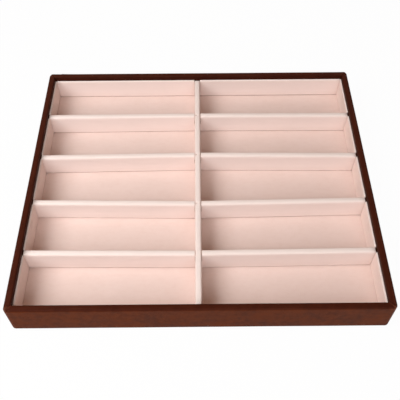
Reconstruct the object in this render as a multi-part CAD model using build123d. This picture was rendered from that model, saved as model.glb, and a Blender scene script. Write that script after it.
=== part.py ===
from build123d import *
import os

# Display tray for ten pairs of sunglasses: a low box of thin boards wrapped in leatherette,
# lined with velvet, and divided by a loose egg-crate of velvet-covered dividers.
# Millimetres. X runs along the length, Y to the back, Z up from the surface it stands on.
# The origin is the middle of the underside.

# Overall size
tray_length = 380.0
tray_depth = 333.0
tray_height = 40.0

# Sheet goods
wall_board_thickness = 5.0
base_board_thickness = 3.0
divider_board_thickness = 5.0
liner_card_thickness = 0.6
floor_card_thickness = 1.6
leatherette_thickness = 1.0
velvet_thickness = 0.9
underside_sheet_thickness = 0.5

# Roundings of the wrapped box
corner_radius = 2.5
rim_outer_radius = 2.0
rim_inner_radius = 1.5
foot_radius = 1.5

# Leatherette wrap
turn_in_bottom_height = 10.0
hem_width = 14.0
seam_gap = 0.2
seam_from_corner = 15.0
underside_sheet_margin = 4.0
underside_sheet_corner = 3.0

# Lining
rim_reveal = 6.4
liner_edge_radius = 0.6
divider_edge_radius = 1.2

# Divider lattice
compartment_rows = 5
divider_reveal = 6.7
centre_divider_shift = -1.5
lattice_shift_left = 0.9
lattice_shift_back = 0.5
cross_divider_bends = {"front": -1.8, "front_middle": -2.9, "back_middle": 2.4, "back": 1.1}

# Clearances of the loose pieces
divider_end_clearance = 0.3
divider_side_clearance = 0.4
slot_side_clearance = 0.3
slot_depth_clearance = 0.4
pad_clearance = 0.2
step_clearance = 0.2

# Brads
brad_width = 1.2
brad_depth = 1.0
brad_length = 20.0
brad_head_width = 2.2
brad_head_thickness = 0.8
corner_brad_heights = (12.0, 30.0)
base_brads_long_side = 4
base_brads_short_side = 3
base_brad_end_distance = 40.0

# A cutting block that has to run past the solid it cuts reaches this much further
overrun = 5.0

# Levels, from the table up
hem_bottom = underside_sheet_thickness
board_bottom = hem_bottom + leatherette_thickness
base_top = board_bottom + base_board_thickness
floor_top = base_top + floor_card_thickness + velvet_thickness
lining_top = tray_height - rim_reveal
divider_top_height = tray_height - divider_reveal

# Sizes in plan
wall_thickness = wall_board_thickness + 2 * leatherette_thickness
half_length = tray_length / 2
half_depth = tray_depth / 2
inner_half_length = half_length - wall_thickness
inner_half_depth = half_depth - wall_thickness
board_inner_half_length = inner_half_length + leatherette_thickness
board_inner_half_depth = inner_half_depth + leatherette_thickness
liner_thickness = liner_card_thickness + velvet_thickness
divider_thickness = divider_board_thickness + 2 * velvet_thickness
divider_height = divider_top_height - floor_top
half_lap_height = floor_top + divider_height / 2

parts = {}


def block(x_low, x_high, y_low, y_high, z_low, z_high):
    """A box between two corners."""
    middle = ((x_low + x_high) / 2, (y_low + y_high) / 2, (z_low + z_high) / 2)
    return Pos(*middle) * Box(x_high - x_low, y_high - y_low, z_high - z_low)


def plate(half_x, half_y, z_low, z_high):
    """A box centred on the tray's middle."""
    return block(-half_x, half_x, -half_y, half_y, z_low, z_high)


# Wrapped box


def frame_layer(inset):
    """The ring of the four walls, with every face moved in by inset."""
    outer_x = half_length - inset
    outer_y = half_depth - inset
    bottom = hem_bottom + inset
    top = tray_height - inset
    ring = plate(outer_x, outer_y, bottom, top)
    ring = fillet(ring.edges().filter_by(Axis.Z), corner_radius - inset)
    ring = fillet(ring.faces().sort_by(Axis.Z)[-1].edges(), rim_outer_radius - inset)
    ring = fillet(ring.faces().sort_by(Axis.Z)[0].edges(), foot_radius - inset)
    ring -= plate(inner_half_length + inset, inner_half_depth + inset, bottom - overrun, top + overrun)
    rim = ring.faces().sort_by(Axis.Z)[-1]
    return fillet(rim.inner_wires()[0].edges(), rim_inner_radius - inset)


def brad():
    """One flat-wire brad along +Y, its head's face at the origin and its point at the far end."""
    shank = block(-brad_width / 2, brad_width / 2, 0, brad_length, -brad_depth / 2, brad_depth / 2)
    head_half = brad_head_width / 2
    head = block(-head_half, head_half, 0, brad_head_thickness, -brad_depth / 2, brad_depth / 2)
    return shank + head


def evenly_spaced(count, half_span):
    """Positions of count items from -half_span to half_span."""
    step = 2 * half_span / (count - 1)
    return [-half_span + step * index for index in range(count)]


def make_corner_brads():
    """Brads through the front and back boards into the ends of the side boards."""
    face_y = half_depth - leatherette_thickness
    side_middle = half_length - leatherette_thickness - wall_board_thickness / 2
    brads = []
    for height in corner_brad_heights:
        for x in (-side_middle, side_middle):
            brads.append(Pos(x, -face_y, height) * brad())
            brads.append(Pos(x, face_y, height) * Rot(0, 0, 180) * brad())
    return brads


def make_base_brads():
    """Brads through all four walls into the edges of the base board."""
    face_x = half_length - leatherette_thickness
    face_y = half_depth - leatherette_thickness
    height = (board_bottom + base_top) / 2
    brads = []
    for x in evenly_spaced(base_brads_long_side, half_length - base_brad_end_distance):
        brads.append(Pos(x, -face_y, height) * brad())
        brads.append(Pos(x, face_y, height) * Rot(0, 0, 180) * brad())
    for y in evenly_spaced(base_brads_short_side, half_depth - base_brad_end_distance):
        brads.append(Pos(-face_x, y, height) * Rot(0, 0, -90) * brad())
        brads.append(Pos(face_x, y, height) * Rot(0, 0, 90) * brad())
    return brads


def add_box():
    """Base board, four wall boards and the brads that hold them."""
    corner_brads = make_corner_brads()
    base_brads = make_base_brads()
    brads = corner_brads + base_brads
    ring = frame_layer(leatherette_thickness)
    across = half_length + overrun
    beyond = half_depth + overrun
    above = tray_height + overrun
    front = ring & block(-across, across, -beyond, -board_inner_half_depth, -overrun, above)
    back = ring & block(-across, across, board_inner_half_depth, beyond, -overrun, above)
    left = ring & block(-across, 0, -board_inner_half_depth, board_inner_half_depth, -overrun, above)
    right = ring & block(0, across, -board_inner_half_depth, board_inner_half_depth, -overrun, above)
    base = plate(board_inner_half_length, board_inner_half_depth, board_bottom, base_top)
    parts["front_wall_board"] = front - brads
    parts["back_wall_board"] = back - brads
    parts["left_wall_board"] = left - brads
    parts["right_wall_board"] = right - brads
    parts["base_board"] = base - brads
    parts["corner_brads"] = Compound(children=corner_brads)
    parts["base_brads"] = Compound(children=base_brads)


def add_wrap():
    """One strip of leatherette round the walls, turned in over the rim and hemmed under the base."""
    hem = plate(inner_half_length, inner_half_depth, hem_bottom, board_bottom)
    window_half_length = half_length - hem_width
    window_half_depth = half_depth - hem_width
    hem -= plate(window_half_length, window_half_depth, hem_bottom - overrun, board_bottom + overrun)
    wrap = frame_layer(0) + hem - frame_layer(leatherette_thickness)
    wrap -= plate(board_inner_half_length, board_inner_half_depth, board_bottom, turn_in_bottom_height)
    seam_x = -half_length + seam_from_corner
    seam_front = window_half_depth - overrun
    seam_back = half_depth + overrun
    wrap -= block(seam_x, seam_x + seam_gap, seam_front, seam_back, 0, tray_height + overrun)
    parts["leatherette_wrap"] = wrap


def add_underside_sheet():
    """Flocked sheet that covers the hem and steps up to the base board inside it."""
    step_half_length = half_length - hem_width - step_clearance
    step_half_depth = half_depth - hem_width - step_clearance
    recess_top = board_bottom - underside_sheet_thickness
    sheet_half_length = half_length - underside_sheet_margin
    sheet_half_depth = half_depth - underside_sheet_margin
    sheet = plate(sheet_half_length, sheet_half_depth, 0, underside_sheet_thickness)
    sheet = fillet(sheet.edges().filter_by(Axis.Z), underside_sheet_corner)
    sheet += plate(step_half_length, step_half_depth, 0, board_bottom)
    recess_half_length = step_half_length - underside_sheet_thickness
    recess_half_depth = step_half_depth - underside_sheet_thickness
    sheet -= plate(recess_half_length, recess_half_depth, -overrun, recess_top)
    parts["underside_sheet"] = sheet


# Lining


def add_floor_pad():
    """Card on the base board with velvet over its top and edges."""
    pad_half_length = inner_half_length - pad_clearance
    pad_half_depth = inner_half_depth - pad_clearance
    card_half_length = pad_half_length - velvet_thickness
    card_half_depth = pad_half_depth - velvet_thickness
    card = plate(card_half_length, card_half_depth, base_top, base_top + floor_card_thickness)
    cover = plate(pad_half_length, pad_half_depth, base_top, floor_top)
    cover = fillet(cover.faces().sort_by(Axis.Z)[-1].edges(), liner_edge_radius)
    parts["floor_card"] = card
    parts["floor_velvet"] = cover - card


def add_liner_panel(name, low, high, turn, place):
    """A covered card panel from low to high along its wall, its back against the wall.

    The panel is made standing on the XZ plane with its velvet face to +Y,
    then turned about Z and moved by place.
    """
    half_width = (high - low) / 2
    panel = block(-half_width, half_width, 0, liner_thickness, floor_top, lining_top)
    panel = fillet(panel.faces().sort_by(Axis.Y)[-1].edges(), liner_edge_radius)
    card_half_width = half_width - velvet_thickness
    card_bottom = floor_top + velvet_thickness
    card_top = lining_top - velvet_thickness
    card = block(-card_half_width, card_half_width, 0, liner_card_thickness, card_bottom, card_top)
    seat = place * Rot(0, 0, turn)
    parts[name.format("card")] = seat * card
    parts[name.format("velvet")] = seat * (panel - card)


def cross_divider_lines():
    """Middle of each cross divider at the side walls, front to back, with its name and bend."""
    clear_depth = 2 * (inner_half_depth - liner_thickness)
    pitch = (clear_depth + divider_thickness) / compartment_rows
    first = -pitch * (compartment_rows - 2) / 2 + lattice_shift_back
    names = list(cross_divider_bends)
    return [(name, first + pitch * index, cross_divider_bends[name]) for index, name in enumerate(names)]


def add_side_liners():
    """One panel in each compartment, on the left and on the right wall."""
    half_gap = divider_thickness / 2 + divider_side_clearance
    lows = [-inner_half_depth] + [y + half_gap for _, y, _ in cross_divider_lines()]
    highs = [y - half_gap for _, y, _ in cross_divider_lines()] + [inner_half_depth]
    for row, (low, high) in enumerate(zip(lows, highs), start=1):
        middle = (low + high) / 2
        add_liner_panel(f"left_liner_{{}}_{row}", low, high, -90, Pos(-inner_half_length, middle, 0))
        add_liner_panel(f"right_liner_{{}}_{row}", low, high, 90, Pos(inner_half_length, middle, 0))


def add_end_liners():
    """A panel each side of the centre divider, on the front and on the back wall."""
    half_gap = divider_thickness / 2 + divider_side_clearance
    wall_end = inner_half_length - liner_thickness
    left_end = centre_divider_shift - half_gap
    right_start = centre_divider_shift + half_gap
    spans = {"left": (-wall_end, left_end), "right": (right_start, wall_end)}
    for side, (low, high) in spans.items():
        middle = (low + high) / 2
        add_liner_panel(f"front_liner_{{}}_{side}", low, high, 0, Pos(middle, -inner_half_depth, 0))
        add_liner_panel(f"back_liner_{{}}_{side}", low, high, 180, Pos(middle, inner_half_depth, 0))


# Divider lattice


def divider_run(start, end, thickness, top):
    """A straight upright board between two points in plan, standing on the floor."""
    half = Vector(0, thickness / 2)
    start = Vector(*start)
    end = Vector(*end)
    outline = make_face(Polyline(start - half, end - half, end + half, start + half, close=True))
    return Pos(0, 0, floor_top) * extrude(outline, top - floor_top)


def soften(run):
    """Round the velvet along the top and down the free ends, away from the half-lap."""

    def is_soft(edge):
        middle = edge.center()
        off_the_lap = abs(middle.X - centre_divider_shift) > velvet_thickness
        return off_the_lap and middle.Z > floor_top + velvet_thickness

    return fillet([edge for edge in run.edges() if is_soft(edge)], divider_edge_radius)


def add_cross_divider(name, end_y, bend):
    """A divider across the length, bent a little at its half-lap, where its slot opens upward."""
    left_x = -inner_half_length + divider_end_clearance
    right_x = inner_half_length - divider_end_clearance - 2 * lattice_shift_left
    middle = (centre_divider_shift, end_y + bend)
    cover = []
    board = []
    for end_x, inward in ((left_x, velvet_thickness), (right_x, -velvet_thickness)):
        cover.append(soften(divider_run((end_x, end_y), middle, divider_thickness, divider_top_height)))
        board_end = (end_x + inward, end_y)
        board_top = divider_top_height - velvet_thickness
        board.append(divider_run(board_end, middle, divider_board_thickness, board_top))
    slot_half = divider_thickness / 2 + slot_side_clearance
    slot_low = half_lap_height - slot_depth_clearance / 2
    slot = block(
        centre_divider_shift - slot_half,
        centre_divider_shift + slot_half,
        middle[1] - divider_thickness,
        middle[1] + divider_thickness,
        slot_low,
        divider_top_height + overrun,
    )
    whole_board = board[0] + board[1]
    parts[f"cross_divider_board_{name}"] = whole_board - slot
    parts[f"cross_divider_velvet_{name}"] = cover[0] + cover[1] - whole_board - slot


def add_centre_divider():
    """The divider from front to back, dropped over the cross dividers with its slots down."""
    half_run = inner_half_depth - divider_end_clearance
    half = divider_thickness / 2
    left = centre_divider_shift - half
    right = centre_divider_shift + half
    cover = block(left, right, -half_run, half_run, floor_top, divider_top_height)
    soft_edges = [edge for edge in cover.edges() if edge.center().Z > floor_top + velvet_thickness]
    cover = fillet(soft_edges, divider_edge_radius)
    board_half = divider_board_thickness / 2
    board_half_run = half_run - velvet_thickness
    board_top = divider_top_height - velvet_thickness
    board = block(
        centre_divider_shift - board_half,
        centre_divider_shift + board_half,
        -board_half_run,
        board_half_run,
        floor_top,
        board_top,
    )
    slot_half = half + slot_side_clearance
    slot_high = half_lap_height + slot_depth_clearance / 2
    slots = []
    for _, end_y, bend in cross_divider_lines():
        low = end_y + bend - slot_half
        high = end_y + bend + slot_half
        slots.append(block(left - overrun, right + overrun, low, high, 0, slot_high))
    parts["centre_divider_board"] = board - slots
    parts["centre_divider_velvet"] = cover - board - slots


def make_tray():
    """Build every piece and write each one to its own file."""
    add_box()
    add_wrap()
    add_underside_sheet()
    add_floor_pad()
    add_side_liners()
    add_end_liners()
    for name, end_y, bend in cross_divider_lines():
        add_cross_divider(name, end_y, bend)
    add_centre_divider()
    os.makedirs("parts", exist_ok=True)
    for name, piece in parts.items():
        export_step(piece, f"parts/{name}.step")


make_tray()
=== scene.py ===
"""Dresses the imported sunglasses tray, and sets up its studio and the photograph's camera.

Every length is in metres. X runs along the tray, Y to its back and Z up.
"""

from __future__ import annotations

import logging
import math
from dataclasses import dataclass, field
from enum import Enum
from typing import Any, Callable, Iterable, Optional, Sequence, Union

import bpy
import numpy as np
from mathutils import Matrix, Vector, noise

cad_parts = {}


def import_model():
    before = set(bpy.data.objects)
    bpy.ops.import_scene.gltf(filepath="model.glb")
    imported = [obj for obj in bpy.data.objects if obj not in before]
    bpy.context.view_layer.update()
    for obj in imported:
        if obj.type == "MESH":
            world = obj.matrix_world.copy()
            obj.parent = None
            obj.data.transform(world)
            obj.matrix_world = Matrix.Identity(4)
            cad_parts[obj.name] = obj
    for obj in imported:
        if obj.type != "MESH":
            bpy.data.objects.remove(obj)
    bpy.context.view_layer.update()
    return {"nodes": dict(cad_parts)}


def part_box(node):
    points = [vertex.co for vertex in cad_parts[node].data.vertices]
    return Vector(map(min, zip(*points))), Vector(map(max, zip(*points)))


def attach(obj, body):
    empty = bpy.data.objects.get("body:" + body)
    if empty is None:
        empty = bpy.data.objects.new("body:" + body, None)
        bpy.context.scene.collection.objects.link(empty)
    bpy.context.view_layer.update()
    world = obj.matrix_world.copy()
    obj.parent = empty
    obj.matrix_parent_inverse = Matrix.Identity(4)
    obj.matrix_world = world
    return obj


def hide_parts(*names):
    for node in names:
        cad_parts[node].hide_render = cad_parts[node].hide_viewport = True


LOG = logging.getLogger("tray")
MM = 0.001
Triple = tuple[float, float, float]
Colour = Triple
Pair = tuple[float, float]
Edge = tuple[int, int]
Face = tuple[int, ...]
Piece = bpy.types.Object


class Side(Enum):
    """A side of a box, as the axis it faces along and the direction on that axis."""

    LEFT = (0, -1)
    RIGHT = (0, 1)
    FRONT = (1, -1)
    BACK = (1, 1)
    DOWN = (2, -1)
    UP = (2, 1)


class Body(Enum):
    """The bodies that pieces ride on."""

    TRAY = "tray"
    CROSS = "cross_dividers"
    CENTRE = "centre_divider"


# Shader maths


def operator(operation: str, swapped: bool = False) -> Callable[["Channel", Any], "Channel"]:
    """Makes an operator that adds one Math node.

    Args:
        operation: The Math node's operation.
        swapped: Whether the other value comes first.

    Returns:
        A method whose other value is a Channel or a number.
    """

    def method(self: "Channel", other: Any) -> "Channel":
        """Returns the node's result."""
        first, second = (other, self) if swapped else (self, other)
        return self.bench.node("ShaderNodeMath", {"operation": operation}, {0: first, 1: second})

    return method


class Channel:
    """A shader socket that can stand in an arithmetic expression."""

    __add__ = operator("ADD")
    __radd__ = operator("ADD", swapped=True)
    __sub__ = operator("SUBTRACT")
    __rsub__ = operator("SUBTRACT", swapped=True)
    __mul__ = operator("MULTIPLY")
    __rmul__ = operator("MULTIPLY", swapped=True)

    def __init__(self, bench: "Bench", socket: bpy.types.NodeSocket) -> None:
        """Wraps one output socket of a bench's material."""
        self.bench = bench
        self.socket = socket

    def clamped(self) -> "Channel":
        """Returns self held between 0 and 1."""
        settings = {"operation": "ADD", "use_clamp": True}
        return self.bench.node("ShaderNodeMath", settings, {0: self, 1: 0.0})


class Bench:
    """Builds the nodes of one material or of the world."""

    def __init__(self, tree: bpy.types.NodeTree) -> None:
        """Clears the tree and keeps it."""
        self.tree = tree
        tree.nodes.clear()

    def node(
        self,
        kind: str,
        settings: Optional[dict[str, Any]] = None,
        values: Optional[dict[Union[int, str], Any]] = None,
        output: Union[int, str] = 0,
    ) -> Channel:
        """Adds a node.

        Args:
            kind: The node's type.
            settings: The node's own properties, set before its sockets.
            values: Numbers, tuples or Channels for the input sockets.
            output: Which output to return.

        Returns:
            The chosen output.
        """
        made = self.tree.nodes.new(kind)
        for name, value in (settings or {}).items():
            setattr(made, name, value)
        for key, value in (values or {}).items():
            if isinstance(value, Channel):
                self.tree.links.new(value.socket, made.inputs[key])
            else:
                made.inputs[key].default_value = value
        return Channel(self, made.outputs[output])

    def place(self) -> Channel:
        """Returns the point on the piece, in metres."""
        return self.node("ShaderNodeTexCoord", output="Object")

    def mirrored_place(self) -> Channel:
        """Returns the point with every axis made positive, so that all corners are alike."""
        return self.node("ShaderNodeVectorMath", {"operation": "ABSOLUTE"}, {0: self.place()})

    def stretched(self, scale: Triple) -> Channel:
        """Returns the point on the piece, with each axis multiplied by its own number."""
        values = {0: self.place(), 1: scale}
        return self.node("ShaderNodeVectorMath", {"operation": "MULTIPLY"}, values)

    def part(self, vector: Channel, axis: int) -> Channel:
        """Returns one axis of a vector as a number."""
        return self.node("ShaderNodeSeparateXYZ", None, {0: vector}, axis)

    def absolute(self, value: Channel) -> Channel:
        """Returns a number without its sign."""
        return self.node("ShaderNodeMath", {"operation": "ABSOLUTE"}, {0: value})

    def facing(self, axis: int) -> Channel:
        """Returns how far the surface faces along an axis, from -1 to 1."""
        return self.part(self.node("ShaderNodeNewGeometry", output="Normal"), axis)

    def cloud(self, scale: float, detail: float = 2.0, at: Optional[Channel] = None) -> Channel:
        """Returns a soft noise from 0 to 1, with so many blobs per metre."""
        values = {"Vector": at or self.place(), "Scale": scale, "Detail": detail, "Roughness": 0.55}
        return self.node("ShaderNodeTexNoise", None, values, "Fac")

    def blend(self, share: Union[Channel, float], first: Any, second: Any) -> Channel:
        """Returns the first colour where the share is 0 and the second where it is 1."""
        sockets = {0: share, 6: self._rgba(first), 7: self._rgba(second)}
        return self.node("ShaderNodeMix", {"data_type": "RGBA"}, sockets, 2)

    @staticmethod
    def _rgba(colour: Any) -> Any:
        """Returns a Channel as it is, and a colour with its alpha."""
        return colour if isinstance(colour, Channel) else (*colour, 1.0)

    def facing_up(self) -> Channel:
        """Returns 1 where the surface faces up, 0 where it is upright or faces down."""
        return self.facing(2).clamped()

    def bump(self, height: Channel, depth: float) -> Channel:
        """Returns the normal of a relief whose height of 1 is so deep."""
        values = {"Strength": 1.0, "Distance": depth, "Height": height}
        return self.node("ShaderNodeBump", None, values)

    def surface(self, values: dict[str, Any]) -> None:
        """Ends a material in a Principled shader with these socket values."""
        shader = self.node("ShaderNodeBsdfPrincipled", None, values)
        self.finish_in("ShaderNodeOutputMaterial", shader)

    def finish_in(self, kind: str, shader: Channel) -> None:
        """Adds the tree's output node, which shows the shader."""
        end = self.tree.nodes.new(kind)
        self.tree.links.new(shader.socket, end.inputs["Surface"])


# Finishes


@dataclass(frozen=True)
class Finish:
    """A named material, and the record's slot it belongs to."""

    name: str
    slot: str

    def material(self) -> bpy.types.Material:
        """Returns the material, made on first use."""
        known = bpy.data.materials.get(self.name)
        if known:
            return known
        made = bpy.data.materials.new(self.name)
        made.use_nodes = True
        self.build(Bench(made.node_tree))
        return made

    def build(self, bench: Bench) -> None:
        """Fills the material's nodes."""
        raise NotImplementedError


def darker(colour: Colour, share: float) -> Colour:
    """Returns a share of a colour."""
    return tuple(part * share for part in colour)


@dataclass(frozen=True)
class LeatheretteFinish(Finish):
    """Embossed reddish brown leatherette, with painted shade on the rim's top, the turn-in and the
    folded corners, scuffed at the corners.
    """

    wall: Colour = (0.112, 0.0222, 0.0030)
    # The rim colour paints shade on the faces that look up, the rim's top.
    rim: Colour = (0.054, 0.0100, 0.0036)
    # The turn-in colour paints shade on the inner face above the linings.
    shaded_turn_in: Colour = (0.040, 0.0072, 0.0026)
    scuff: Colour = (0.20, 0.065, 0.032)
    fleck: Colour = (0.50, 0.36, 0.30)
    pores_per_metre: float = 1100.0
    creases_per_metre: float = 2750.0
    streaks_per_metre: float = 620.0
    clouds_per_metre: float = 45.0
    blotches_per_metre: float = 150.0
    streak_stretch: float = 0.045
    streak_share: float = 1.5
    streak_scuffing: float = 0.28
    mottle_share: float = 1.1
    pore_share: float = 0.25
    fold_shade_share: float = 0.75
    lap_share: float = 0.3
    scuff_share: float = 0.55
    fleck_share: float = 0.7
    roughness: float = 0.42
    shine: float = 0.05
    pore_depth: float = 0.12 * MM
    worn_reach: float = 9.0 * MM
    worn_inset: Triple = (1.5 * MM, 1.5 * MM, 3.0 * MM)
    mitre_width: float = 0.9 * MM
    mitre_reach: float = 8.0 * MM
    turn_in_start: float = 1.2 * MM
    turn_in_fade: float = 0.8 * MM

    def build(self, bench: Bench) -> None:
        """Pebbled grain, streaks along the strip, cloudy colour and a soft gloss."""
        pebble_values = {"Vector": bench.place(), "Scale": self.pores_per_metre}
        pebbles = bench.node("ShaderNodeTexVoronoi", None, pebble_values, "Distance")
        creases = bench.cloud(self.creases_per_metre, 3.0)
        inset = self._inset(bench)
        streaks = bench.cloud(self.streaks_per_metre, 2.0, self._along_strip(bench, inset))
        clouds = bench.cloud(self.clouds_per_metre, 3.0)
        blotches = bench.cloud(self.blotches_per_metre, 3.0)
        # Painted shade: faces that look up are darkened to the rim colour.
        shaded_top = bench.blend((bench.facing_up() * 1.6).clamped(), self.wall, self.rim)
        # Painted shade: the turn-in that faces the compartments is darker still.
        base = bench.blend(self._inside(bench, inset), shaded_top, self.shaded_turn_in)
        scuffed = bench.blend(self.streak_scuffing, base, self.scuff)
        streaked = bench.blend((streaks - 0.5) * self.streak_share, base, scuffed)
        mottle = (0.55 - clouds) * self.mottle_share + (0.5 - blotches) * self.mottle_share
        dark_share = (mottle + pebbles * self.pore_share).clamped()
        mottled = bench.blend(dark_share, streaked, darker(self.rim, 0.5))
        # A lighter line in the scuff colour beside each fold.
        lap = self._mitre(bench, inset, self.mitre_width * 1.8)
        lapped = bench.blend(lap * self.lap_share, mottled, self.scuff)
        # Painted shade: a dark line in the crease along each folded corner of the rim.
        fold = self._mitre(bench, inset, 0.0)
        folded = bench.blend(fold * self.fold_shade_share, lapped, darker(self.rim, 0.25))
        scuffs = self._wear(bench, 300.0, 0.72)
        worn = bench.blend(scuffs * self.scuff_share, folded, self.scuff)
        flecks = self._wear(bench, 900.0, 0.92)
        flecked = bench.blend(flecks * self.fleck_share, worn, self.fleck)
        relief = (1.0 - pebbles) * 0.8 + creases * 0.35 + streaks * 0.3
        bench.surface(
            {
                "Base Color": flecked,
                "Roughness": (self.roughness + clouds * 0.14 + pebbles * 0.1).clamped(),
                "Specular IOR Level": self.shine,
                "Normal": bench.bump(relief, self.pore_depth),
            }
        )

    def _inset(self, bench: Bench) -> Channel:
        """Returns how far in from the outside a point is."""
        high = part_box("leatherette_wrap")[1]
        place = bench.mirrored_place()
        insets = {0: high.x - bench.part(place, 0), 1: high.y - bench.part(place, 1)}
        return bench.node("ShaderNodeMath", {"operation": "MINIMUM"}, insets)

    def _mitre(self, bench: Bench, inset: Channel, beside: float) -> Channel:
        """Returns a line along the folded corners of the rim.

        Args:
            bench: The bench that holds the nodes.
            inset: How far in a point is.
            beside: How far from the fold the line runs.
        """
        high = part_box("leatherette_wrap")[1]
        place = bench.mirrored_place()
        off = (bench.part(place, 1) - bench.part(place, 0)) + (high.x - high.y - beside)
        near_rim = (2.0 - inset * (2 / self.mitre_reach)).clamped()
        on_rim = (bench.facing_up() * 2.0 - 0.5).clamped() * near_rim
        return (1.0 - bench.absolute(off) * (1 / self.mitre_width)).clamped() * on_rim

    def _inside(self, bench: Bench, inset: Channel) -> Channel:
        """Returns 1 on the turn-in that faces the compartments, 0 outside it."""
        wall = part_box("left_liner_card_3")[0].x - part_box("leatherette_wrap")[0].x
        return ((inset - (wall - self.turn_in_start)) * (1 / self.turn_in_fade)).clamped()

    def _along_strip(self, bench: Bench, inset: Channel) -> Channel:
        """Returns a point in which streaks run along the strip."""
        x, y, z = (bench.part(bench.place(), axis) for axis in range(3))
        values = {0: inset, 1: z, 2: (x + y) * self.streak_stretch}
        return bench.node("ShaderNodeCombineXYZ", None, values)

    def _wear(self, bench: Bench, scale: float, height: float) -> Channel:
        """Returns worn spots round the rim's outer corners.

        Args:
            bench: The bench that holds the nodes.
            scale: Spots per metre.
            height: How much noise a spot needs, from 0 to 1.
        """
        corner = tuple(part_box("leatherette_wrap")[1] - Vector(self.worn_inset))
        ends = {0: bench.mirrored_place(), 1: corner}
        away = bench.node("ShaderNodeVectorMath", {"operation": "DISTANCE"}, ends, 1)
        near = (1.0 - away * (1 / self.worn_reach)).clamped()
        spots = (bench.cloud(scale, 2.0) + near * 0.45 - height) * 4.0
        return spots.clamped() * (near * 3.0).clamped()


@dataclass(frozen=True)
class VelvetFinish(Finish):
    """Short-pile pink velvet with a mottled nap."""

    pile: Colour = (0.815, 0.66, 0.605)
    brushed: Colour = (0.87, 0.715, 0.665)
    # Painted light: a paler pile for the faces that look front and back.
    upright: Colour = (0.93, 0.81, 0.775)
    shade: Colour = (0.71, 0.51, 0.44)
    # Painted light: a paler pile for the tops.
    crest_light: Colour = (0.98, 0.89, 0.85)
    # Painted shade: a dark brown for the foot, where walls and dividers meet the floor.
    foot_shade: Colour = (0.30, 0.135, 0.085)
    sheen: Colour = (1.0, 0.93, 0.9)
    patches_per_metre: float = 26.0
    nap_per_metre: float = 260.0
    tufts_per_metre: float = 2600.0
    upright_light_share: float = 0.65
    crest_light_share: float = 0.7
    crest_height: float = 1.4 * MM
    foot_shade_height: float = 1.5 * MM
    nap_depth: float = 0.22 * MM

    def build(self, bench: Bench) -> None:
        """Brushed patches, fine tufts, painted light on the tops and on the faces that look front
        and back, painted shade along the foot at the floor, and a pale sheen.
        """
        patches = bench.cloud(self.patches_per_metre, 3.0)
        nap = bench.cloud(self.nap_per_metre, 3.0, bench.stretched((0.5, 1.0, 1.0)))
        tufts = bench.cloud(self.tufts_per_metre, 2.0)
        base = bench.blend((patches - 0.3) * 1.1, self.pile, self.brushed)
        mixed = bench.blend((nap - 0.45) * 0.5, base, self.shade)
        fine = bench.blend((tufts - 0.5) * 0.5, mixed, self.shade)
        height = bench.part(bench.place(), 2)
        # Painted light: the velvet grows paler towards the tops of the dividers.
        crest_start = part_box("centre_divider_velvet")[1].z - self.crest_height
        on_crest = ((height - crest_start) * (1 / self.crest_height)).clamped()
        # Painted shade: the velvet darkens just above the floor, on faces that look front and back.
        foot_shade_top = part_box("floor_velvet")[1].z + self.foot_shade_height
        at_foot = ((foot_shade_top - height) * (1 / self.foot_shade_height)).clamped()
        across = bench.absolute(bench.facing(1))
        # Painted light: faces that look front or back are made paler.
        uprights_lit = bench.blend(across * self.upright_light_share, fine, self.upright)
        crest_lit = bench.blend(on_crest * self.crest_light_share, uprights_lit, self.crest_light)
        foot_shaded = bench.blend(at_foot * (across * 2.0 - 0.6).clamped(), crest_lit, self.foot_shade)
        bench.surface(
            {
                "Base Color": foot_shaded,
                "Roughness": 0.95,
                "Specular IOR Level": 0.1,
                "Sheen Weight": 0.3,
                "Sheen Roughness": 0.5,
                "Sheen Tint": (*self.sheen, 1.0),
                "Normal": bench.bump(tufts * 0.6 + nap * 0.5, self.nap_depth),
            }
        )


@dataclass(frozen=True)
class BoardFinish(Finish):
    """Raw fibreboard or greyboard with felted fibres."""

    light: Colour = (0.42, 0.29, 0.17)
    dark: Colour = (0.27, 0.17, 0.09)
    fibres_per_metre: float = 900.0
    fibre_depth: float = 0.08 * MM

    def build(self, bench: Bench) -> None:
        """Matted fibres in two tones."""
        fibres = bench.cloud(self.fibres_per_metre, 4.0, bench.stretched((0.3, 0.3, 1.0)))
        flecks = bench.cloud(self.fibres_per_metre * 0.2, 2.0)
        colour = bench.blend((fibres - 0.3) * 1.4, self.light, self.dark)
        mixed = bench.blend(flecks * 0.3, colour, self.dark)
        normal = bench.bump(fibres, self.fibre_depth)
        bench.surface({"Base Color": mixed, "Roughness": 0.85, "Normal": normal})


@dataclass(frozen=True)
class FlockFinish(Finish):
    """Dark brown flocked paper."""

    fibre: Colour = (0.035, 0.024, 0.019)
    dust: Colour = (0.075, 0.056, 0.046)
    fibres_per_metre: float = 3200.0
    worn_per_metre: float = 35.0
    fibre_depth: float = 0.2 * MM

    def build(self, bench: Bench) -> None:
        """Short standing fibres with a little dust."""
        fibres = bench.cloud(self.fibres_per_metre, 2.0)
        wear = bench.cloud(self.worn_per_metre, 3.0)
        dusty = (fibres * 0.6 + wear * 0.5 - 0.3).clamped()
        bench.surface(
            {
                "Base Color": bench.blend(dusty, self.fibre, self.dust),
                "Roughness": 0.97,
                "Sheen Weight": 0.3,
                "Normal": bench.bump(fibres, self.fibre_depth),
            }
        )


@dataclass(frozen=True)
class BradFinish(Finish):
    """Bright drawn wire with fine lengthwise scratches."""

    wire: Colour = (0.56, 0.55, 0.53)
    scratches_per_metre: float = 2500.0
    scratch_depth: float = 0.03 * MM

    def build(self, bench: Bench) -> None:
        """Drawn steel."""
        stretched = bench.stretched((1.0, 0.1, 1.0))
        scratches = bench.cloud(self.scratches_per_metre, 3.0, stretched)
        bench.surface(
            {
                "Base Color": (*self.wire, 1.0),
                "Metallic": 1.0,
                "Roughness": (0.28 + scratches * 0.2).clamped(),
                "Normal": bench.bump(scratches, self.scratch_depth),
            }
        )


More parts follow.
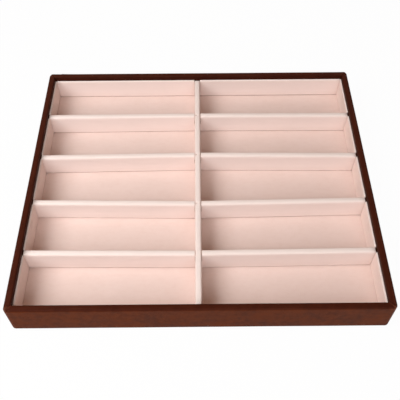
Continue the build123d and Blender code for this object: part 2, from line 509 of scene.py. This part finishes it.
LEATHERETTE = LeatheretteFinish("embossed_leatherette", "leatherette")
VELVET = VelvetFinish("pink_velvet", "velvet")
FIBREBOARD = BoardFinish("raw_fibreboard", "fibreboard")
GREYBOARD = BoardFinish(
    "raw_greyboard",
    "greyboard",
    light=(0.33, 0.30, 0.26),
    dark=(0.22, 0.2, 0.17),
    fibres_per_metre=1400.0,
)
FLOCK = FlockFinish("brown_flock", "flock")
BRAD_STEEL = BradFinish("brad_steel", "steel")


# Meshes


@dataclass
class Skin:
    """Points and faces of one closed mesh, with the edges that stay sharp."""

    points: np.ndarray
    faces: list[Face]
    sharp: set[Edge]

    def make(self, name: str, finish: Finish) -> Piece:
        """Returns a new object with this mesh.

        Args:
            name: The object's name.
            finish: Its material.
        """
        mesh = bpy.data.meshes.new(name)
        mesh.from_pydata([tuple(p) for p in self.points], [], self.faces)
        mesh.validate()
        mesh.polygons.foreach_set("use_smooth", [True] * len(mesh.polygons))
        marks = [tuple(sorted(edge.vertices)) in self.sharp for edge in mesh.edges]
        attribute = mesh.attributes.new("sharp_edge", "BOOLEAN", "EDGE")
        attribute.data.foreach_set("value", marks)
        mesh.materials.append(finish.material())
        mesh.update()
        made = bpy.data.objects.new(name, mesh)
        bpy.context.scene.collection.objects.link(made)
        return made


def closed_shell(outer: np.ndarray, inner: np.ndarray, faces: Sequence[Face]) -> Skin:
    """Closes two matching skins into one shell along their free edges.

    Args:
        outer: Points of the outer skin.
        inner: Points of the inner skin, in the same order.
        faces: The outer skin's faces.

    Returns:
        The closed shell.
    """
    count = len(outer)
    runs = dict.fromkeys(run for face in faces for run in zip(face, (*face[1:], face[0])))
    free = [(start, end) for start, end in runs if (end, start) not in runs]
    shell = list(faces)
    shell += [tuple(index + count for index in reversed(face)) for face in faces]
    shell += [(end, start, start + count, end + count) for start, end in free]
    sharp = {tuple(sorted(edge)) for edge in free}
    sharp |= {(low + count, high + count) for low, high in sharp}
    used = sorted({index for face in shell for index in face})
    renumber = {old: new for new, old in enumerate(used)}
    points = np.concatenate([outer, inner])[used]
    kept = [tuple(renumber[index] for index in face) for face in shell]
    kept_sharp = {tuple(sorted((renumber[a], renumber[b]))) for a, b in sharp}
    return Skin(points, kept, kept_sharp)


def ripple(points: np.ndarray, scale: float, seed: float) -> np.ndarray:
    """Returns soft noise from about -1 to 1 at each point, with so many ripples per metre."""
    offset = Vector((seed * 7.13, seed * 3.71, seed * 5.37))
    return np.array([noise.noise(Vector(p) * scale + offset) for p in points])


EDGE_SHARES = np.array([0.0, 0.18, 0.41, 0.68, 1.0])
"""Where grid lines lie on a rounded edge, as shares of its radius."""


def grid_lines(
    low: float, high: float, radius: float, spacing: float, extra: Iterable[float] = ()
) -> np.ndarray:
    """Places of grid lines, closer together on the rounded edges.

    Args:
        low: The first line.
        high: The last line.
        radius: The edge's rounding.
        spacing: The widest gap between lines.
        extra: More places that need a line.

    Returns:
        The places, in order.
    """
    on_edge = radius * EDGE_SHARES
    steps = max(1, math.ceil((high - low - 2 * radius) / spacing))
    between = np.linspace(low + radius, high - radius, steps + 1)
    places = np.concatenate([low + on_edge, between, high - on_edge, list(extra)])
    return np.unique(np.round(places[(places >= low) & (places <= high)], 7))


def bell(distance: np.ndarray, reach: float) -> np.ndarray:
    """Returns a smooth hump that is 1 at no distance and fades over the reach."""
    return np.exp(-((distance / reach) ** 2))


@dataclass
class VelvetCover:
    """Velvet wrapped over a card or board: a soft-edged box of cloth, open on one side."""

    name: str
    open_side: Side
    radii: tuple[float, float, float] = (1.25 * MM, 1.25 * MM, 1.25 * MM)
    thickness: float = 0.9 * MM
    spacing: float = 3.0 * MM
    ripple_depth: float = 0.1 * MM
    ripples_per_metre: float = 55.0
    seed: float = 1.0
    extra: dict[int, list[float]] = field(default_factory=dict)
    gone: Optional[Callable[[np.ndarray], bool]] = None
    shape: Optional[Callable[[np.ndarray, np.ndarray], np.ndarray]] = None

    def build(
        self, low: Optional[np.ndarray] = None, high: Optional[np.ndarray] = None
    ) -> Piece:
        """Returns the cover.

        Args:
            low: Its lowest corner, by default that of its CAD node.
            high: Its highest corner, by default that of its CAD node.
        """
        low = np.array(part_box(self.name)[0] if low is None else low)
        high = np.array(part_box(self.name)[1] if high is None else high)
        axis, direction = self.open_side.value
        radii = np.array(self.radii)
        lines = [
            grid_lines(low[k], high[k], radii[k], self.spacing, self.extra.get(k, ()))
            for k in range(3)
        ]
        points, faces = self._box_grid(lines)
        inner_low = low + radii
        inner_high = high - radii
        if direction < 0:
            inner_low[axis] = low[axis]
        else:
            inner_high[axis] = high[axis]
        core = np.clip(points, inner_low, inner_high)
        away = (points - core) / radii
        normal = away / np.linalg.norm(away, axis=1, keepdims=True)
        swell = self.ripple_depth * ripple(points, self.ripples_per_metre, self.seed)
        outer = core + normal * (radii + swell[:, None])
        inner = core + normal * (radii - self.thickness)
        if self.shape:
            outer = self.shape(outer, normal)
            inner = self.shape(inner, normal * 0)
        return closed_shell(outer, inner, faces).make("dressed_" + self.name, VELVET)

    def _box_grid(self, lines: list[np.ndarray]) -> tuple[np.ndarray, list[Face]]:
        """Makes the sides of the box as grids that share their edges.

        Args:
            lines: Grid lines along each axis.

        Returns:
            The points and the faces.
        """
        cells: dict[Face, int] = {}
        places: list[Triple] = []
        faces: list[Face] = []

        def crossing(axis: int, at: int, i: int, j: int) -> int:
            """Returns the index of the point where three lines cross."""
            key = [0, 0, 0]
            key[axis], key[(axis + 1) % 3], key[(axis + 2) % 3] = at, i, j
            found = tuple(key)
            if found not in cells:
                cells[found] = len(places)
                places.append(tuple(lines[k][found[k]] for k in range(3)))
            return cells[found]

        for side in Side:
            if side is self.open_side:
                continue
            axis, direction = side.value
            at = len(lines[axis]) - 1 if direction > 0 else 0
            for i in range(len(lines[(axis + 1) % 3]) - 1):
                for j in range(len(lines[(axis + 2) % 3]) - 1):
                    around = ((i, j), (i + 1, j), (i + 1, j + 1), (i, j + 1))
                    face = tuple(crossing(axis, at, *pair) for pair in around)
                    middle = np.mean([places[index] for index in face], axis=0)
                    if not (self.gone and self.gone(middle)):
                        faces.append(face if direction > 0 else tuple(reversed(face)))
        return np.array(places), faces


def dress(
    piece: Piece,
    node: str,
    body: Body,
) -> Piece:
    """Lets a sheet stand for a CAD node.

    Args:
        piece: The detailed sheet.
        node: The node it replaces.
        body: The body it rides on.

    Returns:
        The piece.
    """
    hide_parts(node)
    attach(piece, body.value)
    LOG.info("%s stands for %s on %s", piece.name, node, body.value)
    return piece


def sort_number(name: str) -> float:
    """Returns a steady number for a name, so that each piece has its own ripples."""
    return float(sum((place + 1) * ord(letter) for place, letter in enumerate(name)) % 97)


# Sub-assemblies


@dataclass
class LeatheretteWrap:
    """The strip of leatherette round the walls, turned in over the rim and hemmed below."""

    node: str = "leatherette_wrap"
    thickness: float = 1.0 * MM
    wall: float = 7.0 * MM
    corner_radius: float = 4.4 * MM
    board_corner_radius: float = 2.5 * MM
    inner_corner_radius: float = 0.3 * MM
    rim_outer_radius: float = 2.0 * MM
    rim_inner_radius: float = 1.5 * MM
    foot_radius: float = 1.5 * MM
    hem_width: float = 14.0 * MM
    turn_in_bottom: float = 10.0 * MM
    seam_from_corner: float = 15.0 * MM
    fold_height: float = 0.5 * MM
    fold_reach: float = 5.0 * MM
    lap_height: float = 0.3 * MM
    lap_width: float = 9.0 * MM
    crease_offset: float = 0.6 * MM
    crease_width: float = 0.9 * MM
    waviness: float = 0.13 * MM
    waves_per_metre: float = 14.0
    wave_seed: float = 3.0
    corner_margin: float = 1.0 * MM
    skin: float = 0.5 * MM
    corner_steps: int = 8
    fine_reach: float = 14.0 * MM
    fine_spacing: float = 0.7 * MM
    spacing: float = 4.0 * MM
    turn_in_spacing: float = 3.0 * MM
    rim_spacing: float = 0.7 * MM
    wall_spacing: float = 2.2 * MM
    rim_steps: tuple[int, int] = (6, 7)
    foot_steps: int = 5

    def build(self) -> Piece:
        """Returns the wrap, standing for its node."""
        low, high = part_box(self.node)
        profile = self._profile(low.z, high.z)
        outer = []
        inner = []
        for inset, height, out_inset, out_height in profile:
            line = self._loop(high.x, high.y, inset, self.corner_radius)
            back_inset = inset - out_inset * self.thickness
            back = self._loop(high.x, high.y, back_inset, self.board_corner_radius)
            outer += [(x, y, height) for x, y in line]
            inner += [(x, y, height - out_height * self.thickness) for x, y in back]
        around = len(line)
        faces = []
        for here in range(0, (len(profile) - 1) * around, around):
            for station in range(around):
                after = (station + 1) % around
                above = here + around
                faces.append((here + station, here + after, above + after, above + station))
        outer_points = self._worked(np.array(outer), high)
        skin = closed_shell(outer_points, np.array(inner), faces)
        piece = skin.make("dressed_leatherette_wrap", LEATHERETTE)
        return dress(
            piece, self.node, Body.TRAY
        )

    def _profile(self, bottom: float, top: float) -> list[tuple[float, float, float, float]]:
        """The section of the wrap, from the foot of the turn-in over the rim to the hem's end.

        Args:
            bottom: The height of the hem's underside.
            top: The height of the rim.

        Returns:
            Inset from the outside, height, and the outward normal's inset and height.
        """
        points: list[tuple[float, float, float, float]] = []

        def run(start: Pair, end: Pair, normal: Pair, gap: float) -> None:
            """Adds points along a straight stretch, without its end."""
            steps = max(1, round(math.dist(start, end) / gap))
            for share in (step / steps for step in range(steps)):
                inset = start[0] + (end[0] - start[0]) * share
                height = start[1] + (end[1] - start[1]) * share
                points.append((inset, height, *normal))

        def turn(centre: Pair, radius: float, first: float, steps: int) -> None:
            """Adds points round a quarter turn, without its end."""
            for step in range(steps):
                angle = math.radians(first + 90 * step / steps)
                x, y = math.cos(angle), math.sin(angle)
                points.append((centre[0] + radius * x, centre[1] + radius * y, x, y))

        rim_in = self.rim_inner_radius
        rim_out = self.rim_outer_radius
        foot = self.foot_radius
        inner, spacing = self.wall, self.turn_in_spacing
        run((inner, self.turn_in_bottom), (inner, top - rim_in), (1, 0), spacing)
        turn((inner - rim_in, top - rim_in), rim_in, 0, self.rim_steps[0])
        run((inner - rim_in, top), (rim_out, top), (0, 1), self.rim_spacing)
        turn((rim_out, top - rim_out), rim_out, 90, self.rim_steps[1])
        run((0, top - rim_out), (0, bottom + foot), (-1, 0), self.wall_spacing)
        turn((foot, bottom + foot), foot, 180, self.foot_steps)
        run((foot, bottom), (self.hem_width, bottom), (0, -1), spacing)
        points.append((self.hem_width, bottom, 0, -1))
        return points

    def _loop(self, half_x: float, half_y: float, inset: float, corner: float) -> list[Pair]:
        """One line round the tray at an inset, with the same stations at every inset.

        Args:
            half_x: Half the outside length.
            half_y: Half the outside depth.
            inset: How far in the line runs.
            corner: The rounding of a line with no inset.

        Returns:
            Points from the front left corner, anticlockwise seen from above.
        """
        radius = max(corner - inset, self.inner_corner_radius)
        reach_x = half_x - inset - radius
        reach_y = half_y - inset - radius
        signs = [(-1, -1), (1, -1), (1, 1), (-1, 1)]
        centres = [(x * reach_x, y * reach_y) for x, y in signs]
        line = []
        for quarter, (x, y) in enumerate(centres):
            for step in range(self.corner_steps + 1):
                angle = math.radians(180 + 90 * quarter + 90 * step / self.corner_steps)
                edge_x, edge_y = radius * math.cos(angle), radius * math.sin(angle)
                line.append((x + edge_x, y + edge_y))
            next_x, next_y = centres[(quarter + 1) % 4]
            for share in self._shares(2 * (half_x, half_y)[quarter % 2]):
                line.append((x + (next_x - x) * share + edge_x, y + (next_y - y) * share + edge_y))
        return line

    def _shares(self, length: float) -> list[float]:
        """Stations along a straight side, as shares of it, closer together by the corners.

        Args:
            length: The side's length.

        Returns:
            Shares between 0 and 1, without the ends.
        """
        fine = np.arange(self.fine_spacing, self.fine_reach, self.fine_spacing)
        coarse_count = math.ceil((length - 2 * self.fine_reach) / self.spacing)
        coarse = np.linspace(self.fine_reach, length - self.fine_reach, coarse_count + 1)
        places = np.concatenate([fine, coarse, (length - fine)[::-1]])
        return list(places / length)

    def _worked(self, points: np.ndarray, high: Vector) -> np.ndarray:
        """Adds the folded corners of the rim, the lapped join and a slight waviness.

        Args:
            points: The outer skin.
            high: The highest corner of the wrap.

        Returns:
            The worked points.
        """
        worked = points.copy()
        from_x = high.x - np.abs(points[:, 0])
        from_y = high.y - np.abs(points[:, 1])
        rim_start = high.z - self.rim_outer_radius
        on_rim = np.clip((points[:, 2] - rim_start) / self.rim_outer_radius, 0, 1)
        past_mitre = from_x - from_y
        flap = np.where(past_mitre > 0, np.exp(-past_mitre / self.fold_reach), 0.0)
        crease = bell(past_mitre + self.crease_offset, self.crease_width)
        near_end = from_x < self.wall + self.fold_reach * 3
        near_corner = near_end & (from_y < self.wall + self.corner_margin)
        worked[:, 2] += near_corner * on_rim * self.fold_height * (flap - 0.5 * crease)
        along = points[:, 0] - (self.seam_from_corner - high.x)
        past_seam = (along > 0) & (points[:, 1] > high.y - self.wall)
        lap = np.where(past_seam, np.exp(-along / self.lap_width), 0.0) * self.lap_height
        worked[:, 1] += lap * (from_y < self.skin)
        worked[:, 2] += lap * on_rim
        sway = ripple(points, self.waves_per_metre, self.wave_seed) * self.waviness
        worked[:, 0] += (from_x < self.skin) * np.sign(points[:, 0]) * sway
        worked[:, 1] += (from_y < self.skin) * np.sign(points[:, 1]) * sway
        worked[:, 2] += on_rim * sway
        return worked


@dataclass
class FloorPad:
    """Velvet over the floor card."""

    node: str = "floor_velvet"
    spacing: float = 5.0 * MM
    ripple_depth: float = 0.12 * MM
    ripples_per_metre: float = 30.0
    seed: float = 5.0

    def build(self) -> Piece:
        """Returns the floor velvet."""
        cover = VelvetCover(
            self.node,
            Side.DOWN,
            spacing=self.spacing,
            ripple_depth=self.ripple_depth,
            ripples_per_metre=self.ripples_per_metre,
            seed=self.seed,
        )
        low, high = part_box(self.node)
        return dress(
            cover.build(), self.node, Body.TRAY
        )


@dataclass
class LiningPanels:
    """The velvet-covered cards along the four walls."""

    edge_radius: float = 1.0 * MM
    end_radius: float = 0.25 * MM
    end_pile: float = 0.32 * MM
    spacing: float = 2.5 * MM
    ripple_depth: float = 0.12 * MM
    corner_reach: float = 5.0 * MM
    rows: int = 5

    def build(self) -> list[Piece]:
        """Returns every panel's velvet."""
        panels = []
        for row in range(1, self.rows + 1):
            panels.append(self._panel(f"left_liner_velvet_{row}", Side.LEFT))
            panels.append(self._panel(f"right_liner_velvet_{row}", Side.RIGHT))
        for end in ("left", "right"):
            panels.append(self._panel(f"front_liner_velvet_{end}", Side.FRONT))
            panels.append(self._panel(f"back_liner_velvet_{end}", Side.BACK))
        return panels

    def _panel(self, node: str, wall_side: Side) -> Piece:
        """Makes one panel's velvet.

        Args:
            node: Its CAD node.
            wall_side: The side that faces the wall, which is open.

        Returns:
            The velvet.
        """
        low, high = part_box(node)
        size = high - low
        along = 1 if size.y > size.x else 0
        radii = [self.edge_radius] * 3
        radii[along] = self.end_radius
        cover = VelvetCover(
            node,
            wall_side,
            tuple(radii),
            spacing=self.spacing,
            ripple_depth=self.ripple_depth,
            seed=sort_number(node),
        )
        start, end = np.array(low), np.array(high)
        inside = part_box("floor_velvet")[1][along] - self.corner_reach
        start[along] -= self.end_pile if start[along] > -inside else 0.0
        end[along] += self.end_pile if end[along] < inside else 0.0
        piece = cover.build(start, end)
        return dress(piece, node, Body.TRAY)


@dataclass
class DividerLattice:
    """Velvet on the centre divider and on the four cross dividers."""

    thickness: float = 6.8 * MM
    edge_radius: float = 2.2 * MM
    end_radius: float = 0.7 * MM
    end_pile: float = 1.4 * MM
    end_drop: float = 0.7 * MM
    foot_radius: float = 1.6 * MM
    foot_tuck: float = 0.8 * MM
    foot_shares: tuple[float, ...] = (0.1, 0.25, 0.45, 0.7, 1.0)
    spacing: float = 3.0 * MM
    ripple_depth: float = 0.11 * MM
    slot_clearance: float = 0.3 * MM
    lap_clearance: float = 0.4 * MM
    ear_height: float = 0.9 * MM
    ear_width: float = 2.2 * MM
    ear_fade: float = 4.4 * MM
    ear_spread: float = 0.27 * MM
    drop_width: float = 2.86 * MM
    dimple_depth: float = 1.0 * MM
    dimple_radius: float = 1.1 * MM
    dimple_shift: float = -1.5 * MM
    dimple_spacing: float = 0.45 * MM
    end_sample: float = 2.0 * MM
    centre_seed: float = 11.0
    rows: tuple[str, ...] = ("front", "front_middle", "back_middle", "back")

    def build(self) -> list[Piece]:
        """Returns the velvet of all five dividers."""
        return [*(self._cross(row) for row in self.rows), self._centre()]

    def _crossing(self, row: str) -> tuple[float, float]:
        """Where a cross divider's middle is, at its ends and at the centre divider.

        Args:
            row: The cross divider's name.

        Returns:
            Y at the ends and Y at the crossing.
        """
        node = f"cross_divider_velvet_{row}"
        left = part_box(node)[0].x
        places = [vertex.co for vertex in bpy.data.objects[node].data.vertices]
        at_end = [place.y for place in places if place.x < left + self.end_sample]
        centre_x = self._middle(0)
        at_lap = [place.y for place in places if abs(place.x - centre_x) < self.thickness]
        return (min(at_end) + max(at_end)) / 2, (min(at_lap) + max(at_lap)) / 2

    def _middle(self, axis: int) -> float:
        """Returns the middle of the centre divider along an axis. In Z the half-laps meet there."""
        low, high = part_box("centre_divider_velvet")
        return (low[axis] + high[axis]) / 2

    def _cross(self, row: str) -> Piece:
        """Makes one cross divider's velvet.

        Args:
            row: The cross divider's name.

        Returns:
            The velvet.
        """
        node = f"cross_divider_velvet_{row}"
        low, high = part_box(node)
        end_y, lap_y = self._crossing(row)
        centre_x = self._middle(0)
        slot_half = self.thickness / 2 + self.slot_clearance
        slot_low = self._middle(2) - self.lap_clearance / 2
        half = self.thickness / 2

        def in_slot(middle: np.ndarray) -> bool:
            """Returns whether a face lies in the slot."""
            return abs(middle[0] - centre_x) < slot_half and middle[2] > slot_low

        def bent(points: np.ndarray, normal: np.ndarray) -> np.ndarray:
            """Bends the cover at its slot and swells its folded ends."""
            shaped = points.copy()
            from_centre = points[:, 0] - centre_x
            run = np.where(from_centre < 0, centre_x - low.x, high.x - centre_x)
            shaped[:, 1] += (lap_y - end_y) * (1 - np.abs(from_centre) / run)
            near_top = np.exp(-np.maximum(high.z - points[:, 2], 0) / self.ear_fade)
            ear = bell(points[:, 0] - low.x, self.ear_width) * near_top
            drop = bell(high.x + self.end_pile - points[:, 0], self.drop_width) * near_top
            shaped[:, 2] += normal[:, 2] * (ear * self.ear_height - drop * self.end_drop)
            shaped[:, 1] += normal[:, 1] * ear * self.ear_spread
            return self._tucked(shaped, normal, low.z)

        cover = VelvetCover(
            node,
            Side.DOWN,
            (self.end_radius, self.edge_radius, self.edge_radius),
            spacing=self.spacing,
            ripple_depth=self.ripple_depth,
            seed=sort_number(node),
            extra={
                0: [centre_x - slot_half, centre_x, centre_x + slot_half],
                2: [slot_low, *self._foot_lines(low.z)],
            },
            gone=in_slot,
            shape=bent,
        )
        start = np.array([low.x, end_y - half, low.z])
        end = np.array([high.x + self.end_pile, end_y + half, high.z])
        return self._dressed(cover.build(start, end), node, Body.CROSS)

    def _centre(self) -> Piece:
        """Returns the centre divider's velvet."""
        node = "centre_divider_velvet"
        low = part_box(node)[0]
        laps = [self._crossing(row)[1] for row in self.rows]
        slot_half = self.thickness / 2 + self.slot_clearance
        slot_high = self._middle(2) + self.lap_clearance / 2
        dimple_x = self._middle(0) + self.dimple_shift

        def in_slot(middle: np.ndarray) -> bool:
            """Returns whether a face lies in one of the slots."""
            return middle[2] < slot_high and any(abs(middle[1] - lap) < slot_half for lap in laps)

        def dimpled(points: np.ndarray, normal: np.ndarray) -> np.ndarray:
            """Presses a small dimple into the top over each slot but the front one."""
            shaped = points.copy()
            for lap in laps[1:]:
                away = np.hypot(points[:, 0] - dimple_x, points[:, 1] - lap)
                press = bell(away, self.dimple_radius) * (normal[:, 2] > 0)
                shaped[:, 2] -= press * self.dimple_depth
            return self._tucked(shaped, normal, low.z)

        steps = self.dimple_spacing * np.arange(-4, 5)
        cover = VelvetCover(
            node,
            Side.DOWN,
            (self.edge_radius, self.end_radius, self.edge_radius),
            spacing=self.spacing,
            ripple_depth=self.ripple_depth,
            seed=self.centre_seed,
            extra={
                0: list(dimple_x + steps[1:-1]),
                1: [lap + step for lap in laps for step in (-slot_half, slot_half, *steps)],
                2: [slot_high, *self._foot_lines(low.z)],
            },
            gone=in_slot,
            shape=dimpled,
        )
        return self._dressed(cover.build(), node, Body.CENTRE)

    def _foot_lines(self, bottom: float) -> list[float]:
        """Returns the heights of the grid lines on a divider's rounded foot."""
        return [bottom + self.foot_radius * share for share in self.foot_shares]

    def _tucked(self, points: np.ndarray, normal: np.ndarray, bottom: float) -> np.ndarray:
        """Draws the pile in at the foot, where it meets the floor in a dark line.

        Args:
            points: The cover's points.
            normal: Their outward directions.
            bottom: The height of the divider's underside.

        Returns:
            The points with a rounded foot.
        """
        below = np.clip(self.foot_radius - (points[:, 2] - bottom), 0.0, self.foot_radius)
        inset = self.foot_radius - np.sqrt(self.foot_radius**2 - below**2)
        tucked = points.copy()
        tucked[:, :2] -= normal[:, :2] * np.minimum(inset, self.foot_tuck)[:, None]
        return tucked

    def _dressed(self, piece: Piece, node: str, body: Body) -> Piece:
        """Lets a cover stand for its node.

        Args:
            piece: The cover.
            node: The node it stands for.
            body: The body it rides on.

        Returns:
            The cover.
        """
        return dress(piece, node, body)


@dataclass
class UndersideSheet:
    """The flocked paper glued over the hem and pressed into the recess inside it."""

    node: str = "underside_sheet"
    thickness: float = 0.5 * MM
    recess: float = 1.0 * MM
    hem_overlap: float = 10.2 * MM
    step_width: float = 2.0 * MM
    corner_radius: float = 3.0 * MM
    ripple_depth: float = 0.16 * MM
    ripples_per_metre: float = 24.0
    seed: float = 17.0
    spacing: float = 9.0 * MM

    def build(self) -> Piece:
        """Returns the underside sheet."""
        low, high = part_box(self.node)
        xs, ys = self._lines(high.x), self._lines(high.y)
        plan = np.array([(x, y) for y in ys for x in xs])
        inset = np.minimum(high.x - np.abs(plan[:, 0]), high.y - np.abs(plan[:, 1]))
        rise = np.clip((inset - self.hem_overlap + self.step_width) / self.step_width, 0, 1)
        smooth = rise * rise * (3 - 2 * rise)
        height = low.z + smooth * self.recess
        plan = self._rounded(plan, high)
        spots = np.column_stack([plan, np.zeros(len(plan))])
        sag = self.ripple_depth * smooth * (1 + ripple(spots, self.ripples_per_metre, self.seed))
        below = np.column_stack([plan, height - sag])
        above = np.column_stack([plan, height + self.thickness])
        across = len(xs)
        starts = np.arange(len(plan)).reshape(len(ys), across)[:-1, :-1].ravel().tolist()
        faces = [(here, here + across, here + across + 1, here + 1) for here in starts]
        piece = closed_shell(below, above, faces).make("dressed_underside_sheet", FLOCK)
        return dress(piece, self.node, Body.TRAY)

    def _lines(self, half: float) -> np.ndarray:
        """Returns the places of grid lines along one axis, with more on the step."""
        shares = (1.0, 0.75, 0.5, 0.25, 0.0)
        insets = [self.hem_overlap - self.step_width * share for share in shares]
        step = [side * (half - inset) for inset in insets for side in (-1, 1)]
        return grid_lines(-half, half, self.corner_radius, self.spacing, step)

    def _rounded(self, plan: np.ndarray, high: Vector) -> np.ndarray:
        """Rounds the corners of the sheet's plan.

        Args:
            plan: Points on a rectangle.
            high: The rectangle's highest corner.

        Returns:
            The points on a rectangle with rounded corners.
        """
        reach = np.array([high.x, high.y]) - self.corner_radius
        core = np.clip(plan, -reach, reach)
        away = plan - core
        length = np.maximum(np.linalg.norm(away, axis=1), 1e-9)
        return core + away * (np.abs(away).max(axis=1) / length)[:, None]


@dataclass
class BoardsAndBrads:
    """The boards, cards and brads, whose CAD shapes are right as they are."""

    finishes: tuple[tuple[str, Finish], ...] = (
        ("brads", BRAD_STEEL),
        ("card", GREYBOARD),
        ("board", FIBREBOARD),
    )

    def dress(self, nodes: dict[str, Piece]) -> None:
        """Gives each CAD node that stays its material.

        Args:
            nodes: The CAD nodes.
        """
        for name, node in nodes.items():
            for word, finish in self.finishes:
                if word in name:
                    node.data.materials.clear()
                    node.data.materials.append(finish.material())
                    LOG.info("%s is finished in %s", name, finish.name)
                    break


# Studio


@dataclass(frozen=True)
class Lamp:
    """A square soft lamp that faces the tray."""

    name: str
    place: Triple
    size: float
    power: float
    tint: Colour = (1.0, 1.0, 1.0)

    def build(self) -> None:
        """Hangs the lamp."""
        lamp = bpy.data.lights.new(self.name, "AREA")
        lamp.shape = "SQUARE"
        lamp.size = self.size
        lamp.energy = self.power
        lamp.color = self.tint
        made = bpy.data.objects.new(self.name, lamp)
        made.location = self.place
        made.rotation_euler = (-Vector(self.place)).to_track_quat("-Z", "Y").to_euler()
        bpy.context.scene.collection.objects.link(made)
        LOG.info("%s hangs", self.name)


@dataclass
class Studio:
    """A white floor, one soft key lamp from the left, a front fill and an even warm sky."""

    floor_size: float = 8.0
    floor_drop: float = 0.05 * MM
    floor_tone: Colour = (0.88, 0.88, 0.88)
    floor_white: float = 0.97
    sky_tint: Colour = (1.0, 0.66, 0.47)
    sky_strength: float = 0.2
    lamps: tuple[Lamp, ...] = (
        Lamp("key_lamp", (-0.74, -0.32, 0.88), size=0.7, power=10.7),
        Lamp("fill_lamp", (0.3, -2.0, 1.48), size=1.8, power=26.5, tint=(0.99, 0.99, 1.0)),
    )

    def build(self) -> None:
        """Makes the floor, the sky and the lamps."""
        self._floor()
        self._sky()
        for lamp in self.lamps:
            lamp.build()

    def _floor(self) -> None:
        """Makes the floor, white to the camera but still shadowed."""
        half = self.floor_size / 2
        corners = [(-half, -half), (half, -half), (half, half), (-half, half)]
        mesh = bpy.data.meshes.new("studio_floor")
        mesh.from_pydata([(x, y, -self.floor_drop) for x, y in corners], [], [(0, 1, 2, 3)])
        made = bpy.data.objects.new("studio_floor", mesh)
        bpy.context.scene.collection.objects.link(made)
        material = bpy.data.materials.new("studio_floor")
        material.use_nodes = True
        bench = Bench(material.node_tree)
        matt = bench.node("ShaderNodeBsdfDiffuse", None, {"Color": (*self.floor_tone, 1.0)})
        glow = {"Color": (1.0, 1.0, 1.0, 1.0), "Strength": 1.0}
        white = bench.node("ShaderNodeEmission", None, glow)
        share = seen_directly(bench) * self.floor_white
        both = bench.node("ShaderNodeMixShader", None, {0: share, 1: matt, 2: white})
        bench.finish_in("ShaderNodeOutputMaterial", both)
        mesh.materials.append(material)

    def _sky(self) -> None:
        """Makes an even sky, white to the camera."""
        world = bpy.data.worlds.new("studio_sky")
        world.use_nodes = True
        bpy.context.scene.world = world
        bench = Bench(world.node_tree)
        direct = seen_directly(bench)
        colour = bench.blend(direct, self.sky_tint, (1.0, 1.0, 1.0))
        strength = direct * (1.0 - self.sky_strength) + self.sky_strength
        sky = bench.node("ShaderNodeBackground", None, {"Color": colour, "Strength": strength})
        bench.finish_in("ShaderNodeOutputWorld", sky)


def seen_directly(bench: Bench) -> Channel:
    """Returns 1 for camera, glossy and transmitted rays."""
    rays = ("Is Camera Ray", "Is Glossy Ray", "Is Transmission Ray")
    camera, glossy, through = (bench.node("ShaderNodeLightPath", output=ray) for ray in rays)
    return (camera + glossy + through).clamped()


@dataclass
class PhotoCamera:
    """The photograph's camera, from the fit to the tray's straight edges. Angles are in degrees."""

    image_width: float = 400.0
    focal_pixels: float = 605.3
    sensor_width: float = 36.0
    place: Triple = (-0.23 * MM, -423.65 * MM, 569.46 * MM)
    pitch: float = 53.788
    yaw: float = 0.134
    roll: float = -0.372
    nearest: float = 10.0 * MM

    def build(self) -> Piece:
        """Returns the scene's camera."""
        data = bpy.data.cameras.new("photo_camera")
        data.sensor_width = self.sensor_width
        data.sensor_fit = "HORIZONTAL"
        data.lens = self.focal_pixels * self.sensor_width / self.image_width
        data.clip_start = self.nearest
        made = bpy.data.objects.new("photo_camera", data)
        bpy.context.scene.collection.objects.link(made)
        pitch, yaw, roll = (math.radians(angle) for angle in (self.pitch, self.yaw, self.roll))
        level_share = math.cos(pitch)
        ahead = Vector((math.sin(yaw) * level_share, math.cos(yaw) * level_share, -math.sin(pitch)))
        level = ahead.cross(Vector((0, 0, 1))).normalized()
        upright = level.cross(ahead)
        right = level * math.cos(roll) + upright * math.sin(roll)
        up = upright * math.cos(roll) - level * math.sin(roll)
        turned = Matrix((right, up, -ahead)).transposed().to_4x4()
        made.matrix_world = Matrix.Translation(self.place) @ turned
        bpy.context.scene.camera = made
        return made


def main() -> None:
    """Builds the whole scene."""
    logging.basicConfig(level=logging.INFO, format="%(message)s")
    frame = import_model()
    bpy.context.scene.view_settings.view_transform = "Standard"
    PhotoCamera().build()
    Studio().build()
    BoardsAndBrads().dress(frame["nodes"])
    LeatheretteWrap().build()
    UndersideSheet().build()
    FloorPad().build()
    LiningPanels().build()
    DividerLattice().build()
    bpy.context.view_layer.update()


if __name__ == "__main__":
    main()
